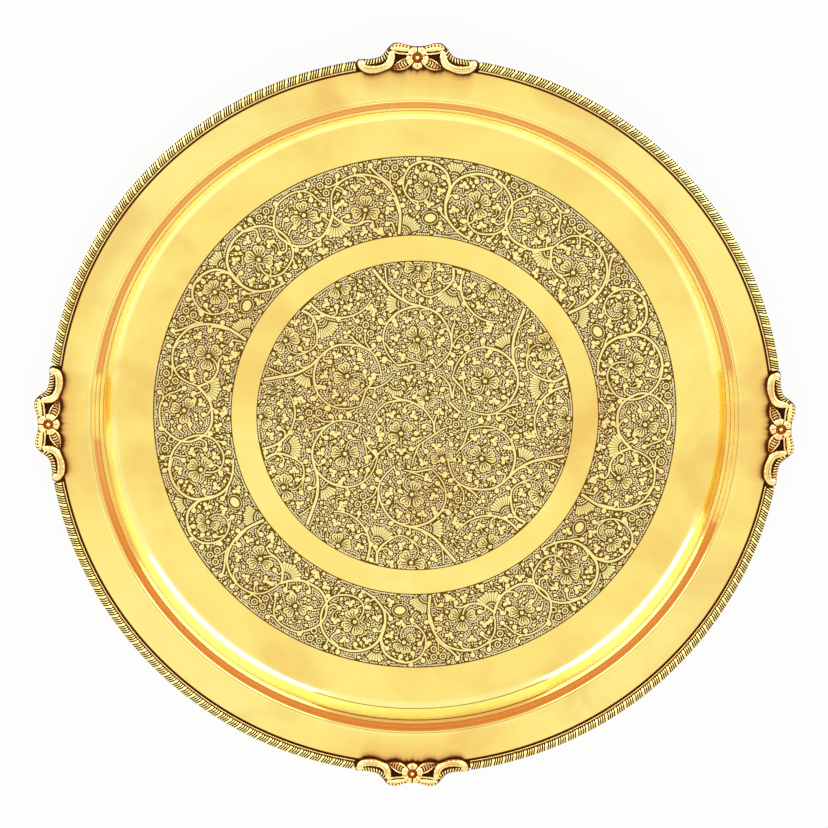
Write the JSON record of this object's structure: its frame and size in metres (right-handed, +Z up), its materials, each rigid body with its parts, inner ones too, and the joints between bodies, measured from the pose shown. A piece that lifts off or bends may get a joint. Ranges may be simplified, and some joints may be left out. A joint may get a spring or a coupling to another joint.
{
  "type": "serving plate",
  "caption": "Round brass thali plate with a deep engraved base, a ribbed step, a rope-patterned rim border and cast scroll ornaments; holds and serves food.",
  "frame": {"origin": "centre of the base's underside, at the level the plate rests on", "axes": "+Z up, out of the open dish; +Y towards the back ornament; +X towards the right ornament"},
  "size_m": [0.3104, 0.3104, 0.0205],
  "materials": {
    "polished_brass": "bright polished sheet brass, with engraved fields that are dark in the sunk ground",
    "antiqued_brass": "polished cast brass with dark patina in the recesses"
  },
  "bodies": {
    "root": {"dish": "polished_brass", "border_strip_back_right": "antiqued_brass", "border_strip_back_left": "antiqued_brass", "border_strip_front_left": "antiqued_brass", "border_strip_front_right": "antiqued_brass", "ornament_back": "antiqued_brass", "ornament_left": "antiqued_brass", "ornament_front": "antiqued_brass", "ornament_right": "antiqued_brass"}
  },
  "joints": []
}
